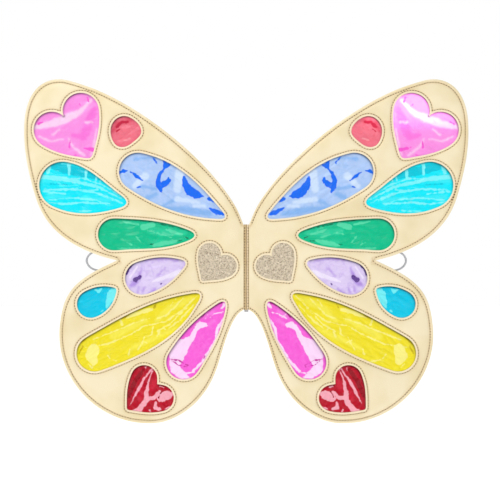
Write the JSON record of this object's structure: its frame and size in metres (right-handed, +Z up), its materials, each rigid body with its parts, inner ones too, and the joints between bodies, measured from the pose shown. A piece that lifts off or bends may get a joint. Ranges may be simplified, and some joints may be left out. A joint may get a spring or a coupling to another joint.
{
  "type": "fairy wings",
  "caption": "Padded gold leatherette butterfly wings with coloured film windows and glitter hearts, folding on a stitched spine and worn by elastic arm loops.",
  "frame": {"origin": "middle of the spine's back face, which rests on the wearer's back", "axes": "+X towards the wearer's right wing tip, +Y out of the back face towards the wearer, +Z up as worn"},
  "size_m": [0.48, 0.0092, 0.3716],
  "materials": {
    "gold_leatherette": "satin metallic gold leatherette, lightly padded",
    "binding_leatherette": "darker gold leatherette, stitched",
    "back_leatherette": "matt gold backing leatherette",
    "foam": "soft wadding",
    "glitter": "champagne glitter fabric",
    "elastic": "woven elastic",
    "tape": "woven tape",
    "pink_heart_film": "glossy crinkled coloured film",
    "red_heart_film": "glossy crinkled coloured film",
    "blue_drop_film": "glossy crinkled coloured film",
    "aqua_drop_film": "glossy crinkled coloured film",
    "green_drop_film": "glossy crinkled coloured film",
    "lilac_drop_film": "glossy crinkled coloured film",
    "teal_drop_film": "glossy crinkled coloured film",
    "yellow_drop_film": "glossy crinkled coloured film",
    "magenta_drop_film": "glossy crinkled coloured film",
    "coral_pebble_film": "glossy crinkled coloured film"
  },
  "bodies": {
    "spine": {"spine_binding": "binding_leatherette", "spine_tape": "tape"},
    "left_wing": {"left_front_skin": "gold_leatherette", "left_foam_core": "foam", "left_back_skin": "back_leatherette", "left_pink_heart_film": "pink_heart_film", "left_red_heart_film": "red_heart_film", "left_blue_drop_film": "blue_drop_film", "left_aqua_drop_film": "aqua_drop_film", "left_green_drop_film": "green_drop_film", "left_lilac_drop_film": "lilac_drop_film", "left_teal_drop_film": "teal_drop_film", "left_yellow_drop_film": "yellow_drop_film", "left_magenta_drop_film": "magenta_drop_film", "left_coral_pebble_film": "coral_pebble_film", "left_glitter_heart": "glitter", "left_arm_strap": "elastic", "left_upper_strap_anchor": "back_leatherette", "left_lower_strap_anchor": "back_leatherette"},
    "right_wing": {"right_front_skin": "gold_leatherette", "right_foam_core": "foam", "right_back_skin": "back_leatherette", "right_pink_heart_film": "pink_heart_film", "right_red_heart_film": "red_heart_film", "right_blue_drop_film": "blue_drop_film", "right_aqua_drop_film": "aqua_drop_film", "right_green_drop_film": "green_drop_film", "right_lilac_drop_film": "lilac_drop_film", "right_teal_drop_film": "teal_drop_film", "right_yellow_drop_film": "yellow_drop_film", "right_magenta_drop_film": "magenta_drop_film", "right_coral_pebble_film": "coral_pebble_film", "right_glitter_heart": "glitter", "right_arm_strap": "elastic", "right_upper_strap_anchor": "back_leatherette", "right_lower_strap_anchor": "back_leatherette"}
  },
  "joints": [
    {"name": "right_wing_fold", "type": "hinge", "parent": "spine", "child": "right_wing", "pos_m": [0.00275, -0.0022, 0], "axis": [0, 0, -1], "range_deg": [-15, 85], "stiffness_Nm_per_rad": 0.05},
    {"name": "left_wing_fold", "type": "hinge", "parent": "spine", "child": "left_wing", "pos_m": [-0.00275, -0.0022, 0], "axis": [0, 0, 1], "range_deg": [-15, 85], "stiffness_Nm_per_rad": 0.05}
  ]
}
